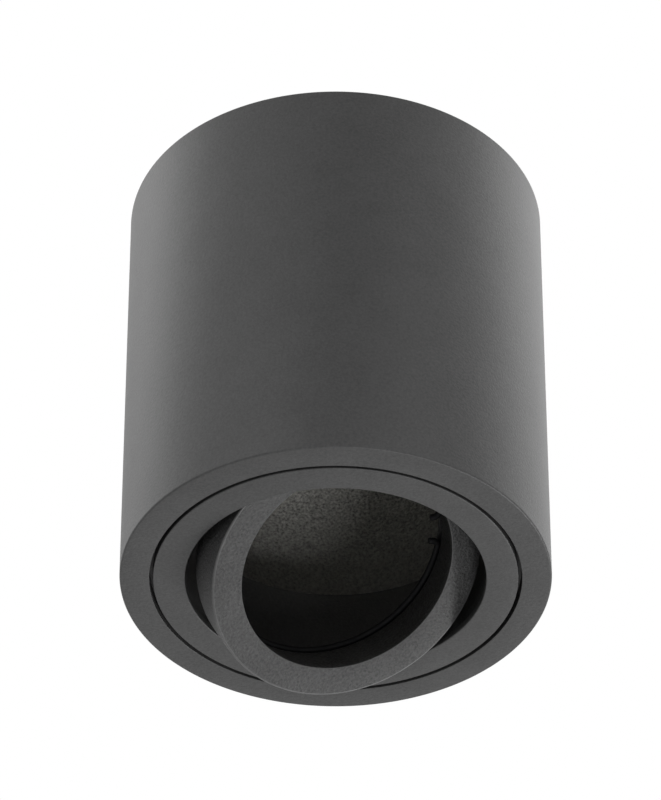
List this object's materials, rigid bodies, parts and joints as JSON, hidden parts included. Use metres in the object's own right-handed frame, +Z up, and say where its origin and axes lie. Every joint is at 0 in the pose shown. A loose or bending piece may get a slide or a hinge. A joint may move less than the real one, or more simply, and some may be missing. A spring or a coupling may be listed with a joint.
{
  "type": "surface mounted ceiling spotlight",
  "caption": "Cylindrical ceiling spotlight, open below, with a ball-shaped ring that holds a twist-lock reflector lamp and tilts in a turning trim ring to aim the light.",
  "frame": {"origin": "centre of the flat face that meets the ceiling", "axes": "+Z up, out of the face that meets the ceiling; the ceiling screw slots lie along X; +Y points away from the picture's camera, towards the cable entry"},
  "size_m": [0.09, 0.09, 0.111],
  "materials": {
    "powder_coat_black": "cast aluminium under a fine-textured black powder coat",
    "spring_steel": "bright spring steel",
    "black_spring_steel": "spring steel wire, black oxide",
    "zinc_plated_steel": "zinc plate, passivated",
    "brass": "machined",
    "ceramic": "unglazed white ceramic",
    "polyamide": "moulded satin",
    "rubber": "matte",
    "lead_insulation": "woven glass-fibre sleeve",
    "earth_insulation": "green and yellow sleeve"
  },
  "bodies": {
    "housing": {"housing_shell": "powder_coat_black", "cable_grommet": "rubber", "terminal_block": "polyamide", "terminal_barrel_1": "brass", "terminal_barrel_2": "brass", "terminal_barrel_3": "brass", "terminal_screw_1a": "zinc_plated_steel", "terminal_screw_1b": "zinc_plated_steel", "terminal_screw_2a": "zinc_plated_steel", "terminal_screw_2b": "zinc_plated_steel", "terminal_screw_3a": "zinc_plated_steel", "terminal_screw_3b": "zinc_plated_steel", "block_fixing_screw_1": "zinc_plated_steel", "block_fixing_screw_2": "zinc_plated_steel", "earth_washer": "zinc_plated_steel", "earth_lug": "zinc_plated_steel", "earth_screw": "brass", "lampholder_base": "ceramic", "lampholder_cover": "ceramic", "lampholder_contact_left": "zinc_plated_steel", "lampholder_contact_right": "zinc_plated_steel", "lampholder_screw_left": "zinc_plated_steel", "lampholder_screw_right": "zinc_plated_steel", "lead_live": "lead_insulation", "lead_neutral": "lead_insulation", "lead_earth": "earth_insulation"},
    "trim": {"trim_ring": "powder_coat_black", "retaining_spring_1": "spring_steel", "retaining_spring_2": "spring_steel", "retaining_spring_3": "spring_steel", "spring_rivet_1": "zinc_plated_steel", "spring_rivet_2": "zinc_plated_steel", "spring_rivet_3": "zinc_plated_steel", "friction_washer_1": "spring_steel", "friction_washer_2": "spring_steel"},
    "tilting_ring": {"tilt_ring": "powder_coat_black", "lamp_clip": "black_spring_steel", "pivot_screw_1": "zinc_plated_steel", "pivot_screw_2": "zinc_plated_steel"}
  },
  "joints": [
    {"name": "trim_turn", "type": "hinge", "parent": "housing", "child": "trim", "pos_m": [0, 0, -0.0896], "axis": [0, 0, 1], "continuous": true},
    {"name": "ring_tilt", "type": "hinge", "parent": "trim", "child": "tilting_ring", "pos_m": [0, 0, -0.0896], "axis": [0.7266, 0.6871, 0], "range_deg": [-4, 66]}
  ]
}
